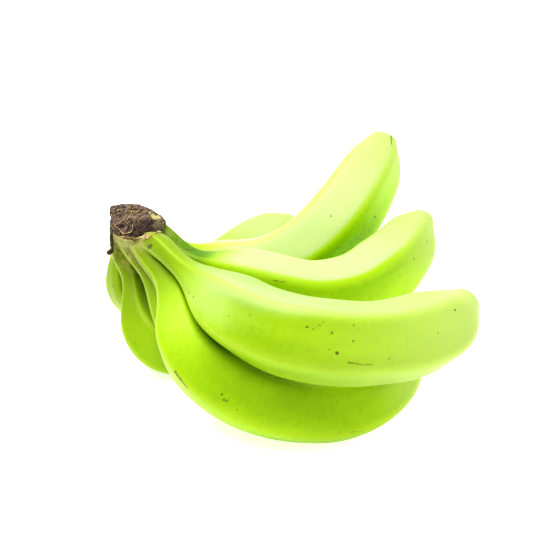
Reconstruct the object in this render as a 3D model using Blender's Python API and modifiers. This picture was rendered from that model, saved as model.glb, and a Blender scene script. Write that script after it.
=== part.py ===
"""A hand of seven green bananas on one brown crown, lying on its lower row, in metres with the floor at z = 0.

Each banana is lofted along a smooth centreline with a rounded five-sided section that fades to round at both ends.
Where two bananas press on each other, both give way to the surface midway between them."""

import math

import bmesh
import bpy
import numpy as np
from mathutils import Vector

MM = 0.001
SIDES = 20
FACETS = 5
SECTION_POWER_BELLY = 7.0
SECTION_POWER_ENDS = 2.4
CONTACT_GAP = 0.75
SOCKET_GAP = 0.35
CURVE_SAMPLES = 240
RING_AT = (
    0.0, 0.03, 0.07, 0.11, 0.15, 0.19, 0.23, 0.27, 0.31, 0.36, 0.42,
    0.49, 0.56, 0.63, 0.70, 0.76, 0.82, 0.87, 0.91, 0.945, 0.975, 1.0,
)
END_RING_SHARE = 0.72
END_RING_RISE = 1.2
END_RISE = 1.9
ROOT_RINGS_IN_CUTTER = 9
CROWN_EDGE_ROUNDING = 2.2
CENTRE_SHIFT = (0.17, 0.84, -0.7)

# Centreline points from the crown to the blossom end: x, y, z and radius, in millimetres.
BANANAS = {
    "front_upper_banana": [
        (-66.2, 0.5, 73.6, 7.2),
        (-60.4, -10.4, 75.2, 7.0),
        (-51.6, -22.7, 72.7, 5.9),
        (-41.8, -35.6, 69.8, 6.9),
        (-31.0, -50.3, 67.5, 11.9),
        (-20.7, -65.6, 66.8, 16.3),
        (-9.0, -82.4, 67.5, 17.9),
        (7.9, -97.0, 68.0, 18.3),
        (29.6, -101.9, 66.7, 18.5),
        (51.5, -97.3, 64.6, 18.4),
        (69.7, -88.0, 64.0, 18.2),
        (82.2, -77.5, 65.7, 15.4),
        (91.4, -67.4, 69.2, 8.0),
    ],
    "front_lower_banana": [
        (-72.4, 6.5, 69.6, 6.2),
        (-66.6, -6.5, 66.8, 6.2),
        (-58.0, -21.9, 61.9, 5.9),
        (-52.9, -36.0, 57.8, 6.7),
        (-47.9, -51.5, 51.6, 10.3),
        (-40.0, -64.4, 43.1, 15.0),
        (-26.3, -73.0, 32.7, 17.2),
        (-7.6, -76.9, 23.4, 18.1),
        (13.1, -77.8, 18.3, 18.3),
        (34.2, -75.4, 17.8, 18.0),
        (52.0, -68.8, 21.3, 16.0),
        (63.6, -60.1, 26.6, 12.3),
        (70.6, -51.4, 31.6, 7.0),
    ],
    "second_lower_banana": [
        (-80.2, 16.5, 68.6, 6.5),
        (-75.3, 9.2, 62.6, 6.6),
        (-68.2, -0.2, 56.6, 5.9),
        (-61.2, -12.0, 50.2, 6.8),
        (-53.2, -25.1, 42.9, 10.8),
        (-42.7, -35.4, 34.5, 14.5),
        (-27.6, -41.2, 24.9, 16.0),
        (-8.3, -42.8, 17.6, 16.4),
        (12.3, -42.2, 16.0, 16.4),
        (32.7, -40.4, 19.6, 16.2),
        (50.7, -37.5, 24.8, 14.4),
        (64.7, -34.0, 29.3, 11.1),
        (75.0, -30.7, 32.6, 6.8),
    ],
    "third_lower_banana": [
        (-85.9, 21.2, 68.6, 6.5),
        (-85.5, 19.8, 60.6, 6.6),
        (-80.3, 12.1, 50.9, 5.9),
        (-76.3, 2.7, 39.3, 7.0),
        (-71.0, -7.4, 26.3, 12.8),
        (-58.7, -13.3, 16.9, 16.5),
        (-40.0, -10.3, 16.7, 17.5),
        (-20.0, -4.2, 17.3, 17.8),
        (0.7, -0.4, 17.5, 17.8),
        (21.8, 1.4, 17.8, 17.6),
        (41.0, 3.4, 20.2, 15.7),
        (56.1, 6.3, 24.2, 12.1),
        (66.4, 9.8, 28.6, 6.8),
    ],
    "rear_lower_banana": [
        (-74.6, 33.2, 72.6, 6.1),
        (-80.3, 35.6, 71.5, 6.6),
        (-87.0, 32.6, 61.5, 5.9),
        (-89.0, 31.1, 47.6, 7.1),
        (-84.9, 32.0, 32.3, 13.2),
        (-74.8, 36.4, 21.0, 16.9),
        (-59.8, 44.7, 17.2, 17.8),
        (-43.9, 55.8, 19.8, 18.1),
        (-29.8, 68.6, 24.2, 18.0),
        (-16.9, 82.7, 28.7, 17.8),
        (-5.5, 95.9, 32.6, 15.9),
        (3.7, 106.4, 35.4, 12.2),
        (11.6, 114.0, 37.8, 6.9),
    ],
    "middle_upper_banana": [
        (-67.7, 14.5, 74.1, 6.5),
        (-63.2, 9.8, 70.5, 6.6),
        (-53.9, 2.5, 65.1, 5.9),
        (-41.7, -4.6, 60.8, 7.1),
        (-26.7, -11.5, 57.8, 13.7),
        (-11.5, -17.8, 55.3, 17.8),
        (5.8, -23.8, 52.4, 18.8),
        (25.9, -25.2, 50.2, 19.1),
        (44.5, -17.5, 51.0, 19.1),
        (59.4, -4.1, 54.8, 18.9),
        (70.9, 9.3, 60.4, 17.1),
        (79.7, 20.2, 67.2, 13.9),
        (86.3, 28.5, 74.3, 7.2),
    ],
    "rear_upper_banana": [
        (-71.4, 24.6, 76.0, 6.3),
        (-69.2, 25.5, 72.9, 6.6),
        (-61.6, 27.2, 63.0, 5.9),
        (-51.4, 29.1, 52.8, 7.5),
        (-38.0, 30.7, 43.8, 16.0),
        (-22.4, 31.4, 39.5, 19.8),
        (-4.5, 31.2, 41.1, 20.4),
        (13.5, 32.1, 48.7, 20.7),
        (29.1, 36.0, 59.7, 20.9),
        (42.5, 43.3, 73.1, 20.9),
        (53.0, 52.8, 86.2, 19.2),
        (61.0, 62.1, 98.1, 15.6),
        (66.9, 70.0, 108.1, 7.6),
    ],
}

# The way one flat side of each banana faces at its belly.
FACET_FACES = {
    "front_upper_banana": (0.0, -0.91, 0.42),
    "front_lower_banana": (0.0, -0.91, 0.42),
    "second_lower_banana": (-0.5, -0.8, 0.4),
    "third_lower_banana": (-0.2, -0.9, 0.1),
    "rear_lower_banana": (-0.6, -0.6, 0.3),
    "middle_upper_banana": (0.0, -0.98, 0.22),
    "rear_upper_banana": (-0.14, -0.77, 0.63),
}

# Corners of the crown block, in millimetres: the cut cap first, then the collar below it.
CROWN_CORNERS = (
    (-69.0, -4.5, 77.2), (-60.6, -6.5, 80.0), (-57.4, -0.5, 79.3), (-58.2, 11.5, 78.6),
    (-69.2, 31.5, 77.9), (-76.0, 40.5, 78.2), (-86.0, 38.5, 79.3), (-92.3, 33.5, 79.9),
    (-90.3, 19.5, 77.8), (-87.5, 3.5, 75.9), (-81.5, -0.5, 75.8), (-76.8, -2.5, 76.6),
    (-84.6, 7.5, 80.4), (-76.8, 7.0, 82.7), (-65.9, 6.5, 83.3), (-61.1, 11.0, 81.2),
    (-84.0, 28.0, 82.0), (-68.0, 22.0, 81.6),
    (-88.5, 9.0, 66.0), (-78.0, 5.5, 64.5), (-70.0, 2.5, 67.0), (-62.5, 6.0, 68.0),
    (-63.0, 28.0, 69.0), (-70.0, 39.0, 70.0), (-86.0, 41.0, 68.0), (-90.5, 26.0, 66.0),
)

PEEL_COLOR = (0.30, 0.52, 0.02, 1.0)
CROWN_COLOR = (0.12, 0.07, 0.04, 1.0)


def clear_scene():
    for item in list(bpy.data.objects):
        bpy.data.objects.remove(item, do_unlink=True)


def make_material(name, color, roughness):
    material = bpy.data.materials.new(name)
    material.use_nodes = True
    shader = material.node_tree.nodes["Principled BSDF"]
    shader.inputs["Base Color"].default_value = color
    shader.inputs["Roughness"].default_value = roughness
    return material


def spline(knots, values, at):
    """Natural cubic spline through the values."""
    count = len(knots)
    step = np.diff(knots)
    slope = np.diff(values, axis=0) / step[:, None]
    matrix = np.zeros((count, count))
    right = np.zeros((count, values.shape[1]))
    matrix[0, 0] = 1.0
    matrix[-1, -1] = 1.0
    for i in range(1, count - 1):
        matrix[i, i - 1] = step[i - 1]
        matrix[i, i] = 2.0 * (step[i - 1] + step[i])
        matrix[i, i + 1] = step[i]
        right[i] = 6.0 * (slope[i] - slope[i - 1])
    bend = np.linalg.solve(matrix, right)
    place = np.clip(np.searchsorted(knots, at, side="right") - 1, 0, count - 2)
    low = (knots[place + 1] - at)[:, None]
    high = (at - knots[place])[:, None]
    width = step[place][:, None]
    start = bend[place]
    end = bend[place + 1]
    curve = (start * low**3 + end * high**3) / (6.0 * width)
    curve += (values[place] / width - start * width / 6.0) * low
    curve += (values[place + 1] / width - end * width / 6.0) * high
    return curve


def centreline(rows):
    """Evenly spaced points, tangents and radii along a banana."""
    table = np.array(rows, float)
    table[:, :3] += CENTRE_SHIFT
    chord = np.linalg.norm(np.diff(table[:, :3], axis=0), axis=1)
    knots = np.concatenate([[0.0], np.cumsum(chord)])
    fine = np.linspace(0.0, knots[-1], 4 * CURVE_SAMPLES)
    points = spline(knots, table[:, :3], fine)
    length = np.concatenate([[0.0], np.cumsum(np.linalg.norm(np.diff(points, axis=0), axis=1))])
    even = np.linspace(0.0, length[-1], CURVE_SAMPLES)
    points = np.stack([np.interp(even, length, points[:, k]) for k in range(3)], axis=1)
    radius_knots = np.interp(knots, fine, length)
    radius = spline(radius_knots, table[:, 3:4], even)[:, 0]
    tangent = np.gradient(points, axis=0)
    tangent /= np.linalg.norm(tangent, axis=1)[:, None]
    return points, tangent, radius


def steady_frames(tangent, face):
    """Side directions that turn no more than the centreline does, set by the belly's flat side."""
    middle = len(tangent) // 2
    sides = np.zeros_like(tangent)
    first = np.array(face) - np.dot(face, tangent[middle]) * tangent[middle]
    sides[middle] = first / np.linalg.norm(first)
    for step in (1, -1):
        i = middle
        while 0 <= i + step < len(tangent):
            side = sides[i] - np.dot(sides[i], tangent[i + step]) * tangent[i + step]
            sides[i + step] = side / np.linalg.norm(side)
            i += step
    return sides


def section_power(share):
    """How sharp the five ridges are: round at the neck and at the blossom end."""
    rise = np.clip((share - 0.10) / 0.22, 0.0, 1.0)
    fall = np.clip((1.0 - share) / 0.10, 0.0, 1.0)
    ridge = rise * rise * (3.0 - 2.0 * rise) * fall * fall * (3.0 - 2.0 * fall)
    return SECTION_POWER_ENDS + (SECTION_POWER_BELLY - SECTION_POWER_ENDS) * ridge


def section(share):
    """Radius shares round the section, with a mean of one."""
    power = section_power(share)
    angle = np.arange(SIDES) * 2.0 * math.pi / SIDES
    total = np.zeros(SIDES)
    for facet in range(FACETS):
        lean = np.clip(np.cos(angle - facet * 2.0 * math.pi / FACETS), 0.0, None)
        total += lean**power
    gauge = total ** (-1.0 / power)
    return gauge / gauge.mean()


def clearance(places, points, radius):
    """Distance outside another banana's mean surface."""
    apart = np.linalg.norm(places[:, None, :] - points[None, :, :], axis=2) - radius[None, :]
    return apart.min(axis=1)


def press(centre, corner, mean, others):
    """Draws ring corners in to the surface midway between this banana and its neighbours."""
    reach = np.linalg.norm(corner - centre, axis=1)
    way = (corner - centre) / reach[:, None]
    low = 0.3 * reach
    high = reach.copy()
    for _ in range(14):
        middle = 0.5 * (low + high)
        spot = centre + way * middle[:, None]
        room = np.full(len(spot), np.inf)
        for points, radius in others:
            room = np.minimum(room, clearance(spot, points, radius))
        free = room >= middle - mean + CONTACT_GAP
        low = np.where(free, middle, low)
        high = np.where(free, high, middle)
    spot = centre + way * reach[:, None]
    room = np.full(len(spot), np.inf)
    for points, radius in others:
        room = np.minimum(room, clearance(spot, points, radius))
    kept = np.where(room >= reach - mean + CONTACT_GAP, reach, low)
    return centre + way * kept[:, None]


def banana_rings(name, lines):
    points, tangent, radius = lines[name]
    sides = steady_frames(tangent, FACET_FACES[name])
    others = [(lines[k][0], lines[k][2]) for k in lines if k != name]
    angle = np.arange(SIDES) * 2.0 * math.pi / SIDES
    rings = []
    for share in RING_AT:
        i = int(round(share * (CURVE_SAMPLES - 1)))
        side = sides[i]
        up = np.cross(tangent[i], side)
        reach = radius[i] * section(share)
        offset = np.cos(angle)[:, None] * side + np.sin(angle)[:, None] * up
        corner = points[i] + offset * reach[:, None]
        centre = np.repeat(points[i][None, :], SIDES, axis=0)
        corner = press(centre, corner, radius[i], others)
        corner[:, 2] = np.maximum(corner[:, 2], 0.0)
        rings.append((points[i], tangent[i], corner))
    return rings


def add_mesh(name, vertices, faces, collection):
    mesh = bpy.data.meshes.new(name)
    mesh.from_pydata([tuple(MM * float(c) for c in v) for v in vertices], [], faces)
    mesh.validate()
    mesh.update()
    item = bpy.data.objects.new(name, mesh)
    collection.objects.link(item)
    return item


def ring_faces(count):
    faces = []
    for i in range(count - 1):
        for j in range(SIDES):
            k = (j + 1) % SIDES
            near = i * SIDES
            far = near + SIDES
            faces.append((near + j, near + k, far + k))
            faces.append((near + j, far + k, far + j))
    return faces


def closed_tube(name, rings, start, end, collection):
    """Rings of corners with a fan to a middle point at each end."""
    vertices = [corner for ring in rings for corner in ring]
    faces = ring_faces(len(rings))
    first = len(vertices)
    vertices.append(start)
    vertices.append(end)
    last = (len(rings) - 1) * SIDES
    for j in range(SIDES):
        k = (j + 1) % SIDES
        faces.append((k, j, first))
        faces.append((last + j, last + k, first + 1))
    return add_mesh(name, vertices, faces, collection)


def build_banana(name, rings, collection, material):
    corners = [ring[2] for ring in rings]
    centre, ahead, last = rings[-1]
    blunt = centre + (last - centre) * END_RING_SHARE + ahead * END_RING_RISE
    corners.append(blunt)
    item = closed_tube(name, corners, rings[0][0], centre + ahead * END_RISE, collection)
    item.data.materials.append(material)
    return item


def build_cutter(name, rings, collection):
    """The neck's first rings, grown by the socket gap."""
    corners = []
    for centre, _, corner in rings[:ROOT_RINGS_IN_CUTTER]:
        away = corner - centre
        reach = np.linalg.norm(away, axis=1)[:, None]
        corners.append(centre + away * (reach + SOCKET_GAP) / reach)
    corners[0] = corners[0] - rings[0][1] * SOCKET_GAP
    start = rings[0][0] - rings[0][1] * SOCKET_GAP
    return closed_tube(name, corners, start, rings[ROOT_RINGS_IN_CUTTER - 1][0], collection)


def build_crown(cutters, collection, material):
    shape = bmesh.new()
    for corner in CROWN_CORNERS:
        shape.verts.new([MM * (c + s) for c, s in zip(corner, CENTRE_SHIFT)])
    hull = bmesh.ops.convex_hull(shape, input=shape.verts)
    unused = [v for v in hull["geom_interior"] if isinstance(v, bmesh.types.BMVert)]
    bmesh.ops.delete(shape, geom=unused, context="VERTS")
    bmesh.ops.recalc_face_normals(shape, faces=shape.faces)
    mesh = bpy.data.meshes.new("crown")
    shape.to_mesh(mesh)
    shape.free()
    item = bpy.data.objects.new("crown", mesh)
    collection.objects.link(item)
    item.data.materials.append(material)
    bevel = item.modifiers.new("rounding", "BEVEL")
    bevel.width = CROWN_EDGE_ROUNDING * MM
    bevel.segments = 2
    bevel.limit_method = "ANGLE"
    bevel.angle_limit = math.radians(18.0)
    for cutter in cutters:
        cut = item.modifiers.new("socket_" + cutter.name, "BOOLEAN")
        cut.operation = "DIFFERENCE"
        cut.solver = "EXACT"
        cut.object = cutter
    return item


def main():
    clear_scene()
    scene = bpy.context.scene
    hand = bpy.data.collections.new("hand_of_bananas")
    scene.collection.children.link(hand)
    tools = bpy.data.collections.new("cutters")
    tools.hide_render = True
    scene.collection.children.link(tools)
    peel = make_material("peel", PEEL_COLOR, 0.45)
    cork = make_material("cork", CROWN_COLOR, 0.9)
    lines = {name: centreline(rows) for name, rows in BANANAS.items()}
    cutters = []
    for name in BANANAS:
        rings = banana_rings(name, lines)
        build_banana(name, rings, hand, peel)
        cutter = build_cutter(name + "_socket", rings, tools)
        cutter.display_type = "WIRE"
        cutters.append(cutter)
    build_crown(cutters, hand, cork)


main()
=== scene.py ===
"""A hand of seven green bananas on a brown cut crown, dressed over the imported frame.

Each banana is lofted again, finer, along its solid, and its skin carries its own measures:
how far along the fruit, how far round it, and how near a ridge. The materials are drawn from these."""

import math

import bmesh
import bpy
import numpy as np
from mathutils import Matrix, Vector, noise
from mathutils.bvhtree import BVHTree


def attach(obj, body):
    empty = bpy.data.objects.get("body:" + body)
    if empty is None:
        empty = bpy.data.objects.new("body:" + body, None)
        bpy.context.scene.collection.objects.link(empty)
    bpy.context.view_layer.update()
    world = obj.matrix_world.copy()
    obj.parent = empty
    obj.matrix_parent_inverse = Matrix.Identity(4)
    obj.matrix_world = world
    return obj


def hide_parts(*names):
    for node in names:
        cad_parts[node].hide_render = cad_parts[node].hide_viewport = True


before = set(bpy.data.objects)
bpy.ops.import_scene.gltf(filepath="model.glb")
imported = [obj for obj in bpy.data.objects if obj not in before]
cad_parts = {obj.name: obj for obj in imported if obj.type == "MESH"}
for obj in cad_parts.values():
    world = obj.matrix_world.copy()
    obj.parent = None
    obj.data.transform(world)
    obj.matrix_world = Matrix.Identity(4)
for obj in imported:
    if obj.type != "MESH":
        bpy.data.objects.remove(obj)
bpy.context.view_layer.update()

MM = 0.001

# Fineness of the skin.
SIDES = 80
RINGS = 150
FACETS = 5
CURVE_SAMPLES = 240

# How sharp the ridges are at the crown, at the belly and at the blossom end.
POWER_NECK = 4.2
POWER_BELLY = 8.0
POWER_END = 3.0
CONTACT_GAP = 0.35
CENTRE_SHIFT = (0.17, 0.84, -0.7)

# Centreline points from the crown to the blossom end: x, y, z and radius, in millimetres.
BANANAS = {
    "front_upper_banana": [
        (-66.8, 0.8, 70.6, 6.3),
        (-60.6, -9.6, 74.4, 6.6),
        (-51.6, -22.7, 72.7, 5.9),
        (-41.8, -35.6, 69.8, 6.9),
        (-31.0, -50.3, 67.5, 11.9),
        (-20.7, -65.6, 66.8, 16.3),
        (-9.0, -82.4, 67.5, 17.9),
        (7.9, -97.0, 68.0, 18.3),
        (29.6, -101.9, 66.7, 18.5),
        (51.5, -97.3, 64.6, 18.4),
        (69.7, -88.0, 64.0, 18.2),
        (82.2, -77.5, 65.7, 15.4),
        (91.4, -67.4, 69.2, 8.0),
    ],
    "front_lower_banana": [
        (-72.4, 6.5, 69.6, 6.2),
        (-66.6, -6.5, 66.8, 6.2),
        (-55.9, -20.7, 60.8, 7.2),
        (-49.6, -34.2, 55.8, 9.2),
        (-44.9, -50.1, 50.0, 12.6),
        (-40.0, -64.4, 43.1, 15.0),
        (-26.3, -73.0, 32.7, 17.2),
        (-7.6, -76.9, 23.4, 18.1),
        (13.1, -77.8, 18.3, 18.3),
        (34.2, -75.4, 17.8, 18.0),
        (52.0, -68.8, 21.3, 16.0),
        (63.6, -60.1, 26.6, 12.3),
        (70.6, -51.4, 31.6, 7.0),
    ],
    "second_lower_banana": [
        (-80.2, 16.5, 68.6, 6.5),
        (-75.3, 9.2, 62.6, 6.6),
        (-68.2, -0.2, 56.6, 5.9),
        (-61.2, -12.0, 50.2, 6.8),
        (-53.2, -25.1, 42.9, 10.8),
        (-42.7, -35.4, 34.5, 14.5),
        (-27.6, -41.2, 24.9, 16.0),
        (-8.3, -42.8, 17.6, 16.4),
        (12.3, -42.2, 16.0, 16.4),
        (32.7, -40.4, 19.6, 16.2),
        (50.7, -37.5, 24.8, 14.4),
        (64.7, -34.0, 29.3, 11.1),
        (75.0, -30.7, 32.6, 6.8),
    ],
    "third_lower_banana": [
        (-83.4, 21.2, 69.0, 5.6),
        (-85.2, 19.4, 60.8, 6.2),
        (-80.3, 12.1, 50.9, 5.9),
        (-76.3, 2.7, 39.3, 7.0),
        (-71.0, -7.4, 26.3, 12.8),
        (-58.7, -13.3, 16.9, 16.5),
        (-40.0, -10.3, 16.7, 17.5),
        (-20.0, -4.2, 17.3, 17.8),
        (0.7, -0.4, 17.5, 17.8),
        (21.8, 1.4, 17.8, 17.6),
        (41.0, 3.4, 20.2, 15.7),
        (56.1, 6.3, 24.2, 12.1),
        (66.4, 9.8, 28.6, 6.8),
    ],
    "rear_lower_banana": [
        (-74.6, 33.2, 72.6, 6.1),
        (-80.3, 35.6, 71.5, 6.6),
        (-85.4, 33.0, 61.5, 5.4),
        (-87.8, 31.4, 47.6, 6.8),
        (-84.9, 32.0, 32.3, 13.2),
        (-74.8, 36.4, 21.0, 16.9),
        (-59.8, 44.7, 17.2, 17.8),
        (-43.9, 55.8, 19.8, 18.1),
        (-29.8, 68.6, 24.2, 18.0),
        (-16.9, 82.7, 28.7, 17.8),
        (-5.5, 95.9, 32.6, 15.9),
        (3.7, 106.4, 35.4, 12.2),
        (11.6, 114.0, 37.8, 6.9),
    ],
    "middle_upper_banana": [
        (-67.7, 14.5, 74.1, 6.5),
        (-62.4, 9.4, 71.8, 7.4),
        (-53.2, 2.2, 66.6, 7.2),
        (-41.4, -4.6, 61.4, 7.8),
        (-26.7, -11.5, 57.8, 13.7),
        (-11.5, -17.8, 55.3, 17.8),
        (5.8, -23.8, 52.4, 18.8),
        (25.9, -25.2, 50.2, 19.1),
        (44.5, -17.5, 51.0, 19.1),
        (59.4, -4.1, 54.8, 18.9),
        (70.9, 9.3, 60.4, 17.1),
        (79.0, 20.2, 67.6, 13.8),
        (85.6, 28.9, 73.4, 7.2),
    ],
    "rear_upper_banana": [
        (-71.4, 24.6, 76.0, 6.3),
        (-69.2, 25.5, 72.9, 6.6),
        (-61.6, 27.2, 63.0, 5.9),
        (-51.4, 29.1, 52.8, 7.5),
        (-38.0, 30.7, 43.8, 16.0),
        (-22.4, 31.4, 39.5, 19.8),
        (-4.5, 31.2, 41.1, 20.4),
        (13.5, 32.1, 48.7, 20.7),
        (29.1, 36.0, 59.7, 20.9),
        (42.5, 43.3, 73.1, 20.9),
        (53.0, 52.8, 86.2, 19.2),
        (61.0, 62.1, 98.1, 15.6),
        (66.6, 69.6, 108.6, 7.8),
    ],
}

# The way one flat side of each banana faces at its belly.
FACET_FACES = {
    "front_upper_banana": (0.0, -0.91, 0.42),
    "front_lower_banana": (0.0, -0.91, 0.42),
    "second_lower_banana": (-0.5, -0.8, 0.4),
    "third_lower_banana": (-0.2, -0.9, 0.1),
    "rear_lower_banana": (-0.6, -0.6, 0.3),
    "middle_upper_banana": (0.0, -0.98, 0.22),
    "rear_upper_banana": (-0.14, -0.77, 0.63),
}

# Corners of the cut cap of the crown and of the collar under it, in millimetres.
CAP_CORNERS = (
    (-69.0, -4.5, 77.2), (-60.6, -6.5, 80.0), (-57.4, -0.5, 79.3), (-58.2, 11.5, 80.2),
    (-69.2, 31.5, 78.8), (-76.0, 40.5, 78.2), (-86.0, 38.5, 79.3), (-92.3, 33.5, 79.9),
    (-90.3, 19.5, 77.8), (-87.5, 3.5, 75.9), (-81.5, -0.5, 75.8), (-76.8, -2.5, 76.6),
    (-84.6, 7.5, 80.4), (-76.8, 7.0, 82.7), (-65.9, 6.5, 83.3), (-61.4, 12.0, 82.6),
    (-84.0, 28.0, 82.0), (-68.0, 22.0, 81.6),
)
CAP_UNDERSIDE = (
    (-66.0, 2.0, 73.0), (-84.0, 8.0, 72.0), (-87.0, 22.0, 73.5), (-82.0, 35.0, 75.0),
    (-74.0, 35.0, 74.5), (-63.0, 14.0, 74.5),
)
COLLAR_CORNERS = (
    (-70.0, -2.0, 76.6), (-62.0, -4.0, 78.8), (-59.5, 0.5, 78.4), (-60.5, 11.5, 77.6),
    (-70.0, 30.0, 77.0), (-76.5, 38.5, 77.4), (-85.0, 37.0, 78.0), (-90.4, 32.5, 78.6),
    (-88.8, 19.5, 76.8), (-86.0, 5.0, 75.2), (-81.0, 1.0, 75.2), (-76.5, -0.8, 76.0),
    (-85.8, 9.5, 67.0), (-78.0, 5.5, 65.0), (-70.0, 2.5, 67.0), (-62.5, 6.0, 68.0),
    (-63.0, 28.0, 69.0), (-70.0, 39.0, 70.0), (-85.0, 39.5, 69.0), (-88.6, 26.0, 67.5),
)

# The camera: where the photograph was taken from, fitted to the bananas' outlines.
CAMERA_PLACE = (0.00197, -0.44681, 0.26021)
CAMERA_PITCH = math.radians(65.0)
CAMERA_LENS = 58.91
SENSOR_WIDTH = 36.0
PHOTO_SIDE = 550
FOCAL_PIXELS = 900.0


def linear(code):
    """An sRGB hex colour as the linear colour that shaders take."""
    shares = [int(code[i:i + 2], 16) / 255.0 for i in (1, 3, 5)]
    return tuple(s / 12.92 if s <= 0.04045 else ((s + 0.055) / 1.055) ** 2.4 for s in shares) + (1.0,)


def spline(knots, values, at):
    """Natural cubic spline through the values."""
    count = len(knots)
    step = np.diff(knots)
    slope = np.diff(values, axis=0) / step[:, None]
    matrix = np.zeros((count, count))
    right = np.zeros((count, values.shape[1]))
    matrix[0, 0] = 1.0
    matrix[-1, -1] = 1.0
    for i in range(1, count - 1):
        matrix[i, i - 1] = step[i - 1]
        matrix[i, i] = 2.0 * (step[i - 1] + step[i])
        matrix[i, i + 1] = step[i]
        right[i] = 6.0 * (slope[i] - slope[i - 1])
    bend = np.linalg.solve(matrix, right)
    place = np.clip(np.searchsorted(knots, at, side="right") - 1, 0, count - 2)
    low = (knots[place + 1] - at)[:, None]
    high = (at - knots[place])[:, None]
    width = step[place][:, None]
    start = bend[place]
    end = bend[place + 1]
    curve = (start * low**3 + end * high**3) / (6.0 * width)
    curve += (values[place] / width - start * width / 6.0) * low
    curve += (values[place + 1] / width - end * width / 6.0) * high
    return curve


def centreline(rows):
    """Evenly spaced points, tangents and radii along a banana, and its length."""
    table = np.array(rows, float)
    table[:, :3] += CENTRE_SHIFT
    chord = np.linalg.norm(np.diff(table[:, :3], axis=0), axis=1)
    knots = np.concatenate([[0.0], np.cumsum(chord)])
    fine = np.linspace(0.0, knots[-1], 4 * CURVE_SAMPLES)
    points = spline(knots, table[:, :3], fine)
    length = np.concatenate([[0.0], np.cumsum(np.linalg.norm(np.diff(points, axis=0), axis=1))])
    even = np.linspace(0.0, length[-1], CURVE_SAMPLES)
    points = np.stack([np.interp(even, length, points[:, k]) for k in range(3)], axis=1)
    radius_knots = np.interp(knots, fine, length)
    radius = spline(radius_knots, table[:, 3:4], even)[:, 0]
    tangent = np.gradient(points, axis=0)
    tangent /= np.linalg.norm(tangent, axis=1)[:, None]
    return points, tangent, radius, length[-1]


def steady_frames(tangent, face):
    """Side directions that turn no more than the centreline does, set by the belly's flat side."""
    middle = len(tangent) // 2
    sides = np.zeros_like(tangent)
    first = np.array(face) - np.dot(face, tangent[middle]) * tangent[middle]
    sides[middle] = first / np.linalg.norm(first)
    for step in (1, -1):
        i = middle
        while 0 <= i + step < len(tangent):
            side = sides[i] - np.dot(sides[i], tangent[i + step]) * tangent[i + step]
            sides[i + step] = side / np.linalg.norm(side)
            i += step
    return sides


def ease(value):
    """A smooth step from 0 to 1."""
    value = np.clip(value, 0.0, 1.0)
    return value * value * (3.0 - 2.0 * value)


def section_power(share):
    """How sharp the five ridges are along the fruit."""
    belly = ease((share - 0.14) / 0.20)
    end = ease((1.0 - share) / 0.12)
    return POWER_END + (POWER_NECK + (POWER_BELLY - POWER_NECK) * belly - POWER_END) * end


def section(share, angle):
    """Radius shares round the section, with a mean of one."""
    power = section_power(share)
    total = np.zeros(len(angle))
    for facet in range(FACETS):
        lean = np.clip(np.cos(angle - facet * 2.0 * math.pi / FACETS), 0.0, None)
        total += lean**power
    gauge = total ** (-1.0 / power)
    return gauge / gauge.mean()


def clearance(places, others):
    """Distance outside the nearest other banana's mean surface."""
    room = np.full(len(places), np.inf)
    for points, radius in others:
        apart = places @ points.T * -2.0
        apart += (places**2).sum(axis=1)[:, None] + (points**2).sum(axis=1)[None, :]
        apart = np.sqrt(np.maximum(apart, 0.0)) - radius[None, :]
        room = np.minimum(room, apart.min(axis=1))
    return room


def press(centre, corner, mean, others):
    """Draws skin points in to the surface midway between this banana and its neighbours."""
    reach = np.linalg.norm(corner - centre, axis=1)
    way = (corner - centre) / reach[:, None]
    tight = clearance(corner, others) < reach - mean + CONTACT_GAP
    if not tight.any():
        return corner
    base = centre[tight]
    line = way[tight]
    low = 0.3 * reach[tight]
    high = reach[tight].copy()
    for _ in range(12):
        middle = 0.5 * (low + high)
        free = clearance(base + line * middle[:, None], others) >= middle - mean[tight] + CONTACT_GAP
        low = np.where(free, middle, low)
        high = np.where(free, high, middle)
    kept = reach.copy()
    kept[tight] = low
    return centre + way * kept[:, None]


# The blossom end closes over this rise, to a scar of this radius, in millimetres.
END_RISE = 2.4
SCAR_RADIUS = 3.1
END_RINGS = 9

# The fruit as it is laid out straight for the patterns: a rod of this radius, in millimetres.
ROD_RADIUS = 10.0

# Slow swells of the skin: how high they are in millimetres, and how close together round and along the
# fruit.
SWELL_HEIGHT = 0.55
SWELL_ROUND = 1.1
SWELL_ALONG = 0.045


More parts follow.
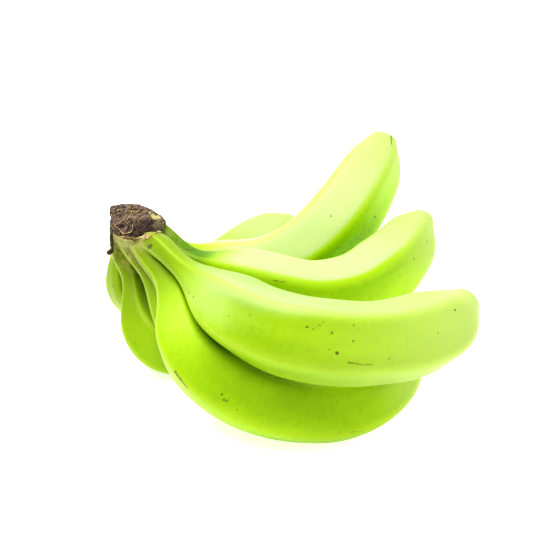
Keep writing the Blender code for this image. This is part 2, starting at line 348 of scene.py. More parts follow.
def skin_points(name, lines, rings=RINGS, sides=SIDES):
    """The skin as an array of rings, with each point's place on the straightened fruit and its nearness to
    a ridge."""
    points, tangent, radius, length = lines[name]
    frames = steady_frames(tangent, FACET_FACES[name])
    others = [(lines[k][0][::2], lines[k][2][::2]) for k in lines if k != name]
    angle = np.arange(sides) * 2.0 * math.pi / sides
    share = np.linspace(0.0, 1.0, rings)
    at = share * (CURVE_SAMPLES - 1)
    spots = np.stack([np.interp(at, np.arange(CURVE_SAMPLES), points[:, k]) for k in range(3)], axis=1)
    aheads = np.stack([np.interp(at, np.arange(CURVE_SAMPLES), tangent[:, k]) for k in range(3)], axis=1)
    faces = np.stack([np.interp(at, np.arange(CURVE_SAMPLES), frames[:, k]) for k in range(3)], axis=1)
    means = np.interp(at, np.arange(CURVE_SAMPLES), radius)
    skin = np.zeros((rings + END_RINGS, sides, 3))
    place = np.zeros((rings + END_RINGS, sides, 3))
    ridge = np.zeros((rings + END_RINGS, sides))
    seed = 17.0 * list(lines).index(name)
    for i in range(rings):
        ahead = aheads[i] / np.linalg.norm(aheads[i])
        side = faces[i] - np.dot(faces[i], ahead) * ahead
        side /= np.linalg.norm(side)
        up = np.cross(ahead, side)
        gauge = section(share[i], angle)
        swell = np.array([
            noise.noise(Vector((
                SWELL_ROUND * math.cos(a),
                SWELL_ROUND * math.sin(a),
                SWELL_ALONG * share[i] * length + seed,
            )))
            for a in angle
        ])
        reach = means[i] * gauge + SWELL_HEIGHT * swell * min(1.0, 4.0 * share[i])
        offset = np.cos(angle)[:, None] * side + np.sin(angle)[:, None] * up
        skin[i] = spots[i] + offset * reach[:, None]
        place[i, :, 0] = ROD_RADIUS * np.cos(angle)
        place[i, :, 1] = ROD_RADIUS * np.sin(angle)
        place[i, :, 2] = share[i] * length
        ridge[i] = 0.5 - 0.5 * np.cos(FACETS * angle)
    centre = np.repeat(spots[:, None, :], sides, axis=1).reshape(-1, 3)
    mean = np.repeat(means[:, None], sides, axis=1).reshape(-1)
    skin[:rings] = press(centre, skin[:rings].reshape(-1, 3), mean, others).reshape(rings, sides, 3)
    rim = skin[rings - 1] - spots[-1]
    mean_rim = np.linalg.norm(rim, axis=1).mean()
    for k in range(END_RINGS):
        turn = (k + 1) / END_RINGS * 0.5 * math.pi
        shrink = SCAR_RADIUS / mean_rim + (1.0 - SCAR_RADIUS / mean_rim) * math.cos(turn)
        skin[rings + k] = spots[-1] + rim * shrink + aheads[-1] * END_RISE * math.sin(turn)
        place[rings + k] = place[rings - 1]
        place[rings + k, :, 2] += END_RISE * math.sin(turn)
        ridge[rings + k] = ridge[rings - 1] * (1.0 - (k + 1) / END_RINGS)
    skin[:, :, 2] = np.maximum(skin[:, :, 2], 0.0)
    return skin, place, ridge


def mesh_object(name, vertices, faces):
    """A smooth-shaded mesh from points in millimetres."""
    mesh = bpy.data.meshes.new(name)
    mesh.from_pydata([tuple(MM * float(c) for c in v) for v in vertices], [], faces)
    mesh.validate()
    mesh.update()
    mesh.polygons.foreach_set("use_smooth", [True] * len(mesh.polygons))
    item = bpy.data.objects.new(name, mesh)
    bpy.context.scene.collection.objects.link(item)
    return item


def ring_faces(rings, sides):
    """Faces between rings of points, with both ends closed."""
    faces = []
    for i in range(rings - 1):
        for j in range(sides):
            k = (j + 1) % sides
            faces.append((i * sides + j, i * sides + k, (i + 1) * sides + k, (i + 1) * sides + j))
    faces.append(tuple(reversed(range(sides))))
    faces.append(tuple((rings - 1) * sides + j for j in range(sides)))
    return faces


def add_attribute(item, name, kind, values):
    """Stores one value for each point of a piece, for its material to read."""
    attribute = item.data.attributes.new(name, kind, "POINT")
    field = "vector" if kind == "FLOAT_VECTOR" else "value"
    attribute.data.foreach_set(field, np.asarray(values, dtype=np.float32).ravel())


def build_banana(name, lines):
    """One banana's skin, with its measures for the material."""
    skin, place, ridge = skin_points(name, lines)
    rings, sides = ridge.shape
    item = mesh_object(name + "_peel", skin.reshape(-1, 3), ring_faces(rings, sides))
    add_attribute(item, "straight", "FLOAT_VECTOR", place)
    add_attribute(item, "ridge", "FLOAT", ridge)
    return item


SCAR_RINGS = 9
SCAR_SIDES = 36
SCAR_OVERLAP = 1.06
SCAR_SUNK = 0.5
SCAR_DOME = 1.1
PIT_RADIUS = 0.12


def build_scar(name, lines):
    """The dry button that the flower leaves at the end: a rough low dome with a pit."""
    points, tangent, _, _ = lines[name]
    ahead = Vector(tangent[-1])
    side = ahead.orthogonal().normalized()
    up = ahead.cross(side)
    centre = Vector(points[-1])
    seed = 5.0 * list(lines).index(name)
    vertices = []
    for i in range(SCAR_RINGS):
        spread = SCAR_OVERLAP * SCAR_RADIUS * (1.0 - (i / (SCAR_RINGS - 1)) ** 1.4)
        lift = math.sin(math.pi * min(1.0, i / (SCAR_RINGS - 2)) * 0.62)
        rise = END_RISE - SCAR_SUNK + SCAR_DOME * lift
        for j in range(SCAR_SIDES):
            turn = 2.0 * math.pi * j / SCAR_SIDES
            rough = noise.noise(Vector((2.2 * math.cos(turn), 2.2 * math.sin(turn), 0.6 * i + seed)))
            out = max(PIT_RADIUS, spread * (1.0 + 0.16 * rough))
            flat = centre + (side * math.cos(turn) + up * math.sin(turn)) * out
            vertices.append(flat + ahead * (rise + 0.28 * rough))
    return mesh_object(name + "_blossom_scar", vertices, ring_faces(SCAR_RINGS, SCAR_SIDES))


def hull_faces(corners):
    """Corners and faces of the convex hull of some points."""
    shape = bmesh.new()
    for corner in corners:
        shape.verts.new([c + s for c, s in zip(corner, CENTRE_SHIFT)])
    hull = bmesh.ops.convex_hull(shape, input=shape.verts)
    unused = [v for v in hull["geom_interior"] if isinstance(v, bmesh.types.BMVert)]
    bmesh.ops.delete(shape, geom=unused, context="VERTS")
    bmesh.ops.recalc_face_normals(shape, faces=shape.faces)
    shape.verts.index_update()
    vertices = [tuple(v.co) for v in shape.verts]
    faces = [tuple(v.index for v in f.verts) for f in shape.faces]
    shape.free()
    return vertices, faces


def fused(name, shells, voxel, smooth_rounds):
    """One closed skin over several overlapping shells, with its creases eased."""
    vertices = []
    faces = []
    for shell_vertices, shell_faces in shells:
        first = len(vertices)
        vertices.extend(shell_vertices)
        faces.extend(tuple(first + i for i in face) for face in shell_faces)
    item = mesh_object(name, vertices, faces)
    remesh = item.modifiers.new("fuse", "REMESH")
    remesh.mode = "VOXEL"
    remesh.voxel_size = voxel * MM
    remesh.use_smooth_shade = True
    ready = item.evaluated_get(bpy.context.evaluated_depsgraph_get())
    mesh = bpy.data.meshes.new_from_object(ready)
    item.modifiers.clear()
    item.data = mesh
    mesh.name = name
    work = bmesh.new()
    work.from_mesh(mesh)
    for _ in range(smooth_rounds):
        bmesh.ops.smooth_vert(
            work, verts=work.verts, factor=0.5, use_axis_x=True, use_axis_y=True, use_axis_z=True)
    work.to_mesh(mesh)
    work.free()
    mesh.polygons.foreach_set("use_smooth", [True] * len(mesh.polygons))
    return item


def displace(item, height):
    """Moves each point of a piece out along its normal by height(point), in millimetres, and keeps the
    height."""
    mesh = item.data
    normals = [Vector(n.vector) for n in mesh.vertex_normals]
    places = [v.co / MM for v in mesh.vertices]
    rises = [height(place) for place in places]
    for vertex, place, normal, rise in zip(mesh.vertices, places, normals, rises):
        vertex.co = (place + normal * rise) * MM
    add_attribute(item, "relief", "FLOAT", rises)
    mesh.update()


# The torn fibres of the cap run this way across its top.
FIBRE_WAY = Vector((0.62, 0.76, 0.18)).normalized()
FIBRE_ACROSS = Vector((0.78, -0.62, 0.0)).normalized()


def cap_height(place):
    """Torn fibres, lumps and chipped hollows of the cut."""
    bend = 2.5 * noise.noise(place / 14.0 + Vector((5.0, 2.0, 8.0)))
    along = place.dot(FIBRE_WAY)
    across = place.dot(FIBRE_ACROSS) + bend
    streak = noise.fractal(Vector((along / 6.0, across / 0.95, place.z / 2.0)), 0.8, 2.1, 3)
    lump = noise.noise(place / 6.5 + Vector((3.0, 1.0, 7.0)))
    chip = abs(noise.noise(place / 3.4 + Vector((1.0, 6.0, 2.0))))
    return 0.55 * streak + 0.75 * lump - 1.1 * chip + 0.3


def collar_height(place):
    """Slight unevenness of the living collar."""
    lump = noise.noise(place / 6.0 + Vector((9.0, 4.0, 2.0)))
    return 0.30 * lump


# The share of each banana that the collar's stubs cover, how far they stand proud of the neck at the crown,
# how far they sink by their far end, in millimetres, and their sides.
STUB_SHARE = 0.12
STUB_PROUD = 0.5
STUB_SINK = 1.2
STUB_SIDES = 40


def neck_stub(name, lines):
    """The first part of a neck, proud of its skin at the crown and sunk under it at the far end."""
    skin, _, _ = skin_points(name, lines, RINGS, STUB_SIDES)
    rings = int(round(STUB_SHARE * RINGS))
    kept = skin[:rings].copy()
    for i in range(rings):
        centre = kept[i].mean(axis=0)
        grow = STUB_PROUD - STUB_SINK * i / (rings - 1)
        away = kept[i] - centre
        reach = np.linalg.norm(away, axis=1)[:, None]
        kept[i] = centre + away * (reach + grow) / reach
    vertices = [tuple(v) for v in kept.reshape(-1, 3)]
    return vertices, ring_faces(rings, STUB_SIDES)


# Grain of the fused skins, in millimetres, and how often they are smoothed.
CAP_VOXEL = 0.5
CAP_SMOOTHING = 2
COLLAR_VOXEL = 0.8
COLLAR_SMOOTHING = 5


def build_cap():
    """The dried cut block, with its torn surface."""
    cap = fused("crown_cap", [hull_faces(CAP_CORNERS + CAP_UNDERSIDE)], CAP_VOXEL, CAP_SMOOTHING)
    displace(cap, cap_height)
    return cap


def build_collar(lines, cap_tree):
    """The living foot of the stalks, fused round every neck, with each point's distance to the cap."""
    shells = [hull_faces(COLLAR_CORNERS)] + [neck_stub(name, lines) for name in lines]
    collar = fused("crown_collar", shells, COLLAR_VOXEL, COLLAR_SMOOTHING)
    displace(collar, collar_height)
    gaps = [cap_tree.find_nearest(v.co / MM)[3] for v in collar.data.vertices]
    add_attribute(collar, "under_cap", "FLOAT", gaps)
    return collar


def sight(px, py):
    """The eye and the direction that a pixel of the 550 by 550 photograph looks along, in millimetres."""
    half = PHOTO_SIDE / 2.0
    pitch = CAMERA_PITCH - 0.5 * math.pi
    ahead = Vector((0.0, math.cos(pitch), math.sin(pitch)))
    up = Vector((0.0, -math.sin(pitch), math.cos(pitch)))
    way = ahead + Vector((1.0, 0.0, 0.0)) * (px - half) / FOCAL_PIXELS + up * (half - py) / FOCAL_PIXELS
    return Vector(CAMERA_PLACE) / MM, way.normalized()


def on_surface(tree, px, py):
    """Where the photograph's pixel lands on a piece, and the surface's normal there."""
    eye, way = sight(px, py)
    place, normal, _, _ = tree.ray_cast(eye, way)
    return place, normal


def shared_tree(pieces):
    """One search tree over the faces of several pieces."""
    vertices = []
    faces = []
    for item in pieces:
        first = len(vertices)
        vertices.extend(v.co / MM for v in item.data.vertices)
        faces.extend(tuple(first + i for i in p.vertices) for p in item.data.polygons)
    return BVHTree.FromPolygons(vertices, faces)


def place_marks(tree, pixels):
    """Marks at the photograph's pixels, as places on a piece with a radius."""
    marks = []
    for px, py, size in pixels:
        place, _ = on_surface(tree, px, py)
        if place is not None:
            marks.append((tuple(place), size))
    return marks


def at_depth(px, py, depth):
    """The place that a pixel of the photograph shows, this far in front of the camera."""
    eye, way = sight(px, py)
    ahead = sight(PHOTO_SIDE / 2.0, PHOTO_SIDE / 2.0)[1]
    return eye + way * depth / way.dot(ahead)


def build_strand(name, tree, pixels, thick):
    """A dry fibre that lies on a piece along a row of the photograph's pixels."""
    path = []
    for px, py in pixels:
        place, normal = on_surface(tree, px, py)
        if place is not None:
            path.append(place + normal * thick * 0.6)
    return build_tube(name, path, thick)


TUBE_SIDES = 7
TUBE_STEPS = 8


def build_tube(name, path, thick):
    """An uneven tube through some points, thinner at its ends."""
    knots = np.arange(len(path), dtype=float)
    fine = np.linspace(0.0, knots[-1], TUBE_STEPS * len(path))
    line = spline(knots, np.array([tuple(p) for p in path]), fine)
    vertices = []
    for i, spot in enumerate(line):
        ahead = Vector(line[min(i + 1, len(line) - 1)] - line[max(i - 1, 0)]).normalized()
        side = ahead.orthogonal().normalized()
        up = ahead.cross(side)
        share = i / (len(line) - 1)
        rough = noise.noise(Vector(spot) / 1.5)
        full = 0.35 + 0.65 * math.sin(math.pi * min(max(share, 0.04), 0.96))
        out = thick * full * (1.0 + 0.5 * rough)
        for j in range(TUBE_SIDES):
            turn = 2.0 * math.pi * j / TUBE_SIDES
            vertices.append(Vector(spot) + (side * math.cos(turn) + up * math.sin(turn)) * out)
    return mesh_object(name, vertices, ring_faces(len(line), TUBE_SIDES))


# Dry fibres on the cap, as rows of the photograph's pixels. The first is the thickest. Radii are in
# millimetres.
FIRST_STRAND_RADIUS = 0.3
STRAND_RADIUS = 0.18
STRANDS = (
    ((112.5, 227.0), (115.5, 226.8), (118.5, 228.2), (121.1, 231.1), (123.3, 233.4),
     (127.2, 233.3), (131.1, 231.6), (132.5, 227.8), (132.8, 224.0)),
    ((123.0, 219.5), (124.5, 217.0), (126.5, 214.5), (128.3, 211.5)),
    ((127.0, 220.5), (128.6, 217.4), (130.6, 215.0), (131.6, 211.8)),
    ((131.5, 218.5), (132.4, 216.0), (134.0, 213.6), (137.0, 211.6)),
    ((134.0, 219.5), (135.2, 216.8), (138.0, 214.6), (141.0, 213.4)),
    ((113.0, 213.5), (116.5, 211.2), (120.0, 209.6), (123.5, 209.0)),
    ((111.5, 218.0), (114.0, 216.0), (117.0, 213.8), (119.5, 212.6)),
    ((137.0, 222.0), (140.0, 219.0), (143.0, 216.6), (146.0, 215.4)),
    ((119.0, 224.0), (121.0, 221.6), (123.4, 219.6), (125.0, 218.8)),
)

# Torn skin that curls up at the lower edge of the cut, in the same way.
TORN_EDGE_RADIUS = 0.55
TORN_EDGES = (
    ((133.5, 239.0), (137.0, 237.6), (141.0, 237.4), (145.0, 237.0), (149.5, 235.8), (154.5, 233.6)),
    ((143.5, 239.2), (146.5, 238.4), (149.5, 237.2), (152.5, 235.6)),
    ((121.5, 236.5), (125.0, 238.6), (129.0, 239.4), (132.5, 241.0), (134.5, 244.0)),
    ((114.5, 233.5), (117.5, 235.4), (121.0, 236.2), (124.5, 236.0)),
    ((154.0, 234.0), (158.0, 232.6), (161.5, 231.2)),
)

# Dark strips on the left of the collar: pixels of the photograph, distances from the camera and radii.
DARK_STRIPS = (
    (((110.8, 229.0), (111.2, 237.0), (111.8, 244.0), (113.0, 253.0)), 499.0, 1.0),
    (((106.8, 253.8), (108.4, 252.8), (110.2, 251.4), (111.8, 249.4)), 500.0, 1.7),
)


def node(tree, kind, inputs=(), **settings):
    """Adds a node: settings are its own choices, inputs give each socket a value or another node's
    output."""
    item = tree.nodes.new("ShaderNode" + kind)
    for key, value in settings.items():
        setattr(item, key, value)
    for key, value in dict(inputs).items():
        if isinstance(value, bpy.types.NodeSocket):
            tree.links.new(value, item.inputs[key])
        else:
            item.inputs[key].default_value = value
    return item


# The setting for mixing two colours.
MIX = {"data_type": "RGBA"}


def mixed(tree, share, below, above):
    """One colour laid over another by a share."""
    return node(tree, "Mix", {0: share, 6: below, 7: above}, **MIX).outputs[2]


def ranged(tree, value, start, full, low, high, **settings):
    """A number that goes from low to high while a value goes from start to full."""
    return node(tree, "MapRange", {0: value, 1: start, 2: full, 3: low, 4: high}, **settings).outputs[0]


def eased(tree, value, start, full, low, high):
    """The same, with soft ends."""
    return ranged(tree, value, start, full, low, high, interpolation_type="SMOOTHSTEP")


def noise_at(tree, place, scale, detail, roughness=0.5):
    """Smooth noise at a place."""
    inputs = {"Vector": place, "Scale": scale, "Detail": detail, "Roughness": roughness}
    return node(tree, "TexNoise", inputs).outputs["Fac"]


def distance_to(tree, place, point):
    """How far a place is from a fixed point."""
    return node(tree, "VectorMath", {0: place, 1: point}, operation="DISTANCE").outputs["Value"]


def new_material(name):
    """A material with its node tree and its shader."""
    material = bpy.data.materials.new(name)
    material.use_nodes = True
    tree = material.node_tree
    return material, tree, tree.nodes["Principled BSDF"]


def scratch(start_x, start_y, end_x, end_y, size):
    """A row of marks so close that they make a line."""
    count = max(2, int(math.hypot(end_x - start_x, end_y - start_y) / 1.3))
    steps = [i / (count - 1) for i in range(count)]
    return tuple((start_x + (end_x - start_x) * t, start_y + (end_y - start_y) * t, size) for t in steps)


# Dry marks on the skin, as pixels of the photograph with a radius in millimetres.
MARKS = {
    "front_upper_banana": (
        (307, 327, 0.7), (320, 325, 0.5), (332, 333, 0.75), (353, 341, 0.6), (354, 325, 0.5),
        (337, 353, 0.75), (389, 359, 0.5), (455, 310, 0.7), (189, 292.5, 0.8),
        (193.5, 297, 0.8), (148.5, 247.2, 1.9), (150.8, 246.2, 1.7), (313, 329, 0.4), (329, 350, 0.5),
    ) + scratch(348, 362.5, 362, 364.5, 0.42) + scratch(364, 365.0, 372, 364.5, 0.36),
    "front_lower_banana": (
        (224, 400, 0.9), (222, 394, 0.7), (227, 401, 0.6), (237, 410, 0.6), (340, 432, 0.5), (176, 371, 0.5),
    ) + scratch(175, 372, 187, 388, 0.85) + scratch(189, 391, 203, 405, 0.5)
    + scratch(349, 432.5, 364, 431, 0.36),
    "middle_upper_banana": (
        (414, 259, 0.7), (427, 242, 0.6), (177, 240, 0.7), (284, 281.5, 0.5),
    ) + scratch(186.5, 249.3, 190, 250.3, 0.95) + scratch(193, 249.5, 195.5, 250.8, 0.85)
    + scratch(274, 280.5, 281, 282, 0.45),
    "rear_upper_banana": (
        (375, 217, 0.7), (331, 216, 0.6), (342, 221, 0.5),
    ) + scratch(390.8, 134.5, 391.6, 144, 0.75),
    "rear_lower_banana": ((113, 286, 0.7),),
}

# Marks on the collar, in the same way.
COLLAR_MARKS = ((149.0, 247.0, 2.2), (151.0, 246.0, 1.6), (147.5, 248.5, 1.4))

# Where the cap was cut fresh, in the same way.
FRESH_MARKS = (
    (155.0, 216.5, 2.8), (158.5, 217.0, 2.2), (152.0, 214.5, 1.8), (149.5, 212.5, 1.1), (147.0, 210.5, 0.8),
)

# Where the cap is grey-green at its right end, in the same way.
END_MARKS = ((160.5, 224.0, 4.4), (156.5, 226.0, 3.4), (163.0, 219.5, 2.6))

# What a peel looks like: greens of the dark and light clouds on it and of its neck, with painted shade in
# the neck's green, the colour of its painted highlight, the way the skin faces where the painted highlight
# lies, how far the skin must face that way for the highlight to start and to be full, how far from the crown
# it starts and is full, how far from the crown the neck's green starts and is full, in metres, how much
# olive lies beside the crown, and how far from the blossom end the skin starts to pale, in millimetres.
USUAL_LOOKS = {
    "dark_green": "#7A9A09",
    "light_green": "#9ABA1C",
    "neck_green_and_painted_shade": "#728A10",
    "painted_highlight": "#9CAE74",
    "painted_highlight_side": (-0.35, 0.0, 0.94),
    "painted_highlight_facing": (0.65, 1.12),
    "painted_highlight_reach": (0.055, 0.120),
    "neck_reach": (0.090, 0.040),
    "crown_olive": 0.85,
    "pale_end": 62.0,
}

# Where a banana differs from the usual. Some of these greens are painted light or painted shade, as marked
# below.
LOOKS = {
    "front_upper_banana": {
        "painted_highlight": "#A0B37E",
        "painted_highlight_facing": (0.77, 1.12),
        "pale_end": 105.0,
    },
    "front_lower_banana": {
        "dark_green": "#84A60A",
        "light_green": "#9CBE1C",
        "painted_highlight_facing": (0.97, 1.42),
        "pale_end": 40.0,
    },
    "rear_lower_banana": {
        "dark_green": "#94AC28",
        "light_green": "#A2B836",
        "painted_highlight": "#AABC8E",
        "painted_highlight_facing": (0.52, 0.96),
    },
    "middle_upper_banana": {
        # Painted light: this banana's greens are lighter, to make up for the front upper banana's shadow on
        # its lower side.
        "dark_green": "#88AE0A",
        "light_green": "#A0C41A",
        # Painted shade: this neck's green is darker for the shadow that the front upper banana casts on it.
        "neck_green_and_painted_shade": "#3C6800",
        "painted_highlight": "#A8B985",
        "painted_highlight_side": (-0.12, 0.34, 0.93),
        "painted_highlight_facing": (0.70, 0.92),
        "painted_highlight_reach": (0.050, 0.070),
        "neck_reach": (0.060, 0.044),
        "crown_olive": 0.30,
    },
    "rear_upper_banana": {
        # Painted light: this banana's greens are lighter, to make up for the shade on its right side.
        "dark_green": "#A6D206",
        "light_green": "#B0DA0C",
        "neck_green_and_painted_shade": "#86A01C",
        "painted_highlight": "#B5C18C",
        "painted_highlight_facing": (0.46, 0.70),
        "painted_highlight_reach": (0.036, 0.060),
        "neck_reach": (0.055, 0.035),
    },
}

# Colours that every peel shares.
STREAK_GREEN = "#A2BA18"
MOTTLE_GREEN = "#5F7F08"
RIDGE_GREEN = "#A2BA22"
TIP_GREEN = "#A0B264"
CROWN_OLIVE = "#717C1E"
SCURF_STRAW = "#97965A"
SPECK_BROWN = "#4E5214"
SCAB_BROWN = "#544E1A"
FLAKE_TAN = "#8F7A58"

# Colours of the dried cut, with the painted shade of its gaps, hollows and front corner.
CORK_BROWN = "#452C14"
CORK_GREY = "#86746A"
CORK_FIBRE = "#CDB27C"
FIBRE_GAP_PAINTED_SHADE = "#1C1006"
HOLLOW_PAINTED_SHADE = "#1C1108"
CORNER_PAINTED_SHADE = "#24160A"
CORK_END = "#7C7450"
FRESH_CREAM = "#C9C384"

# The front corner of the cut cap, darkened with painted shade, in metres.
SHADED_FRONT_CORNER = (-0.0675, -0.0020, 0.0780)

# Where the crown is, for the skin that pales towards it, in metres.
CROWN_CENTRE = (-0.0740, 0.0154, 0.0780)


def peel_skin(tree, straight, seed, looks):
    """The colour of the peel, its streaks and its pores, from places on the straightened fruit in
    millimetres."""
    object_place = node(tree, "TexCoord").outputs["Object"]
    # Streaks are about 1 mm wide and 20 mm long.
    streak_place = node(tree, "Mapping", {"Vector": straight, "Location": (seed, 0.0, 0.0),
                                          "Scale": (1.0, 1.0, 0.06)})
    streak = noise_at(tree, streak_place.outputs["Vector"], 0.8, 5.0, 0.6)
    # Broad clouds of lighter and darker green, about 30 mm across.
    cloud_place = node(tree, "Mapping", {"Vector": straight, "Location": (0.0, seed, 0.0),
                                         "Scale": (1.0, 1.0, 0.24)})
    cloud = noise_at(tree, cloud_place.outputs["Vector"], 0.055, 3.0)
    # Pores and cells are finer than a render pixel, so they are drawn 0.7 mm apart.
    pores = noise_at(tree, straight, 1.4, 3.0, 0.7)
    share = ranged(tree, cloud, 0.35, 0.65, 0.0, 1.0)
    skin = mixed(tree, share, linear(looks["dark_green"]), linear(looks["light_green"]))
    share = ranged(tree, streak, 0.48, 0.72, 0.0, 0.2)
    skin = mixed(tree, share, skin, linear(STREAK_GREEN))
    # Faint mottling, about 2 mm across.
    mottle = noise_at(tree, straight, 0.5, 3.0, 0.6)
    share = ranged(tree, mottle, 0.50, 0.68, 0.0, 0.16)
    skin = mixed(tree, share, skin, linear(MOTTLE_GREEN))
    # Painted highlight: the skin is paler where it faces up towards the light and away from the neck, in
    # patches.
    from_crown = distance_to(tree, object_place, CROWN_CENTRE)
    facing = node(tree, "VectorMath", {0: node(tree, "TexCoord").outputs["Normal"], 1: looks["painted_highlight_side"]},
                  operation="DOT_PRODUCT").outputs["Value"]
    patchy = node(tree, "Math", {0: cloud, 1: 0.35, 2: facing}, operation="MULTIPLY_ADD").outputs[0]
    start, full = looks["painted_highlight_facing"]
    highlight_facing_share = eased(tree, patchy, start, full, 0.0, 0.85)
    start, full = looks["painted_highlight_reach"]
    away = eased(tree, from_crown, start, full, 0.03, 1.0)
    share = node(tree, "Math", {0: highlight_facing_share, 1: away}, operation="MULTIPLY").outputs[0]
    skin = mixed(tree, share, skin, linear(looks["painted_highlight"]))
    # Towards the crown the skin turns olive and then straw. The neck's green has painted shade in it,
    # darkest on the middle upper banana.
    start, full = looks["neck_reach"]
    share = eased(tree, from_crown, start, full, 0.0, 0.85)
    skin = mixed(tree, share, skin, linear(looks["neck_green_and_painted_shade"]))
    wander = noise_at(tree, object_place, 300.0, 3.0)
    ragged = node(tree, "Math", {0: wander, 1: 0.010, 2: from_crown}, operation="MULTIPLY_ADD").outputs[0]
    olive = looks["crown_olive"]
    share = eased(tree, ragged, 0.045, 0.028, 0.0, olive)
    skin = mixed(tree, share, skin, linear(CROWN_OLIVE))
    # Straw-coloured scurf lies on it in patches about 4 mm across.
    scurf = noise_at(tree, object_place, 230.0, 4.0, 0.6)
    scurf = node(tree, "Math", {0: ragged, 1: -14.0, 2: scurf}, operation="MULTIPLY_ADD").outputs[0]
    share = eased(tree, scurf, 0.02, 0.22, 0.0, 0.88 * olive)
    skin = mixed(tree, share, skin, linear(SCURF_STRAW))
    return skin, streak, pores


def spots(tree, marks, ragged_by):
    """How much of the surface lies in some spots with ragged edges, from places and radii in
    millimetres."""
    object_place = node(tree, "TexCoord").outputs["Object"]
    warp = node(tree, "TexNoise", {"Vector": object_place, "Scale": 900.0, "Detail": 2.0}).outputs["Color"]
    shift = node(tree, "VectorMath", {0: warp, 1: (0.5, 0.5, 0.5)}, operation="SUBTRACT").outputs["Vector"]
    ragged = node(tree, "VectorMath", {0: shift, 1: (ragged_by, ragged_by, ragged_by), 2: object_place},
                  operation="MULTIPLY_ADD").outputs["Vector"]
    covered = None
    for place, size in marks:
        apart = distance_to(tree, ragged, tuple(MM * c for c in place))
        found = ranged(tree, apart, MM * size, MM * size * 0.5, 0.0, 0.9)
        if covered is not None:
            found = node(tree, "Math", {0: covered, 1: found}, operation="MAXIMUM").outputs[0]
        covered = found
    return covered


def add_marks(tree, skin, marks):
    """Small dry corky scabs at places on the skin, and sparse specks all over it."""
    object_place = node(tree, "TexCoord").outputs["Object"]
    # One speck in each 8 mm cube, seen where the skin passes through it.
    speck = node(tree, "TexVoronoi", {"Vector": object_place, "Scale": 125.0}).outputs["Distance"]
    share = ranged(tree, speck, 0.065, 0.035, 0.0, 0.6)
    skin = mixed(tree, share, skin, linear(SPECK_BROWN))
    if marks:
        share = spots(tree, marks, 0.0016)
        skin = mixed(tree, share, skin, linear(SCAB_BROWN))
    return skin


def finish_peel(tree, shader, skin, streak, pores):
    """A soft shine of wax, with fine ribs along the fruit and pores between them."""
    tree.links.new(skin, shader.inputs["Base Color"])
    shine = node(tree, "MapRange", {0: pores, 1: 0.3, 2: 0.7, 3: 0.38, 4: 0.50})
    tree.links.new(shine.outputs[0], shader.inputs["Roughness"])
    shader.inputs["IOR"].default_value = 1.45
    shader.inputs["Specular IOR Level"].default_value = 0.18
    relief = node(tree, "Math", {0: streak, 1: 0.5, 2: pores}, operation="MULTIPLY_ADD")
    bump = node(tree, "Bump", {"Height": relief.outputs[0], "Strength": 0.25, "Distance": 0.0004})
    tree.links.new(bump.outputs["Normal"], shader.inputs["Normal"])


def peel_material(name, seed, marks, length, looks):
    """Unripe banana peel: living wax-coated skin, grown in five flat sides. The eye sees an even lime green
    with faint streaks along the fruit, paler ridges, a yellower neck and tip, and a soft broad shine. A
    painted highlight makes the skin paler where it faces up towards the light."""
    material, tree, shader = new_material(name)
    straight = node(tree, "Attribute", attribute_name="straight").outputs["Vector"]
    ridge = node(tree, "Attribute", attribute_name="ridge").outputs["Fac"]
    skin, streak, pores = peel_skin(tree, straight, seed, looks)
    share = eased(tree, ridge, 0.80, 1.0, 0.0, 0.35)
    skin = mixed(tree, share, skin, linear(RIDGE_GREEN))
    way_along = node(tree, "SeparateXYZ", {0: straight}).outputs["Z"]
    share = eased(tree, way_along, length - looks["pale_end"], length - 4.0, 0.0, 0.85)
    skin = mixed(tree, share, skin, linear(TIP_GREEN))
    finish_peel(tree, shader, add_marks(tree, skin, marks), streak, pores)
    return material


# Where in the noise each banana's pattern and the collar's start.
PEEL_SEED_STEP = 31.0
COLLAR_SEED = 400.0


def collar_material(marks):
    """The fused foot of the stalks: living skin that pales to straw and dries to papery tan at the cut."""
    material, tree, shader = new_material("pale_collar_skin")
    object_place = node(tree, "TexCoord").outputs["Object"]
    straight = node(tree, "VectorMath", {0: object_place, 3: 1.0 / MM}, operation="SCALE").outputs["Vector"]
    skin, streak, pores = peel_skin(tree, straight, COLLAR_SEED, USUAL_LOOKS)
    # Papery tan flakes hang on just under the cut.
    near = node(tree, "Attribute", attribute_name="under_cap").outputs["Fac"]
    flake = noise_at(tree, object_place, 420.0, 5.0, 0.65)
    edge = node(tree, "Math", {0: flake, 1: 5.0, 2: near}, operation="MULTIPLY_ADD").outputs[0]
    share = eased(tree, edge, 4.6, 3.2, 0.0, 0.9)
    skin = mixed(tree, share, skin, linear(FLAKE_TAN))
    finish_peel(tree, shader, add_marks(tree, skin, marks), streak, pores)
    return material


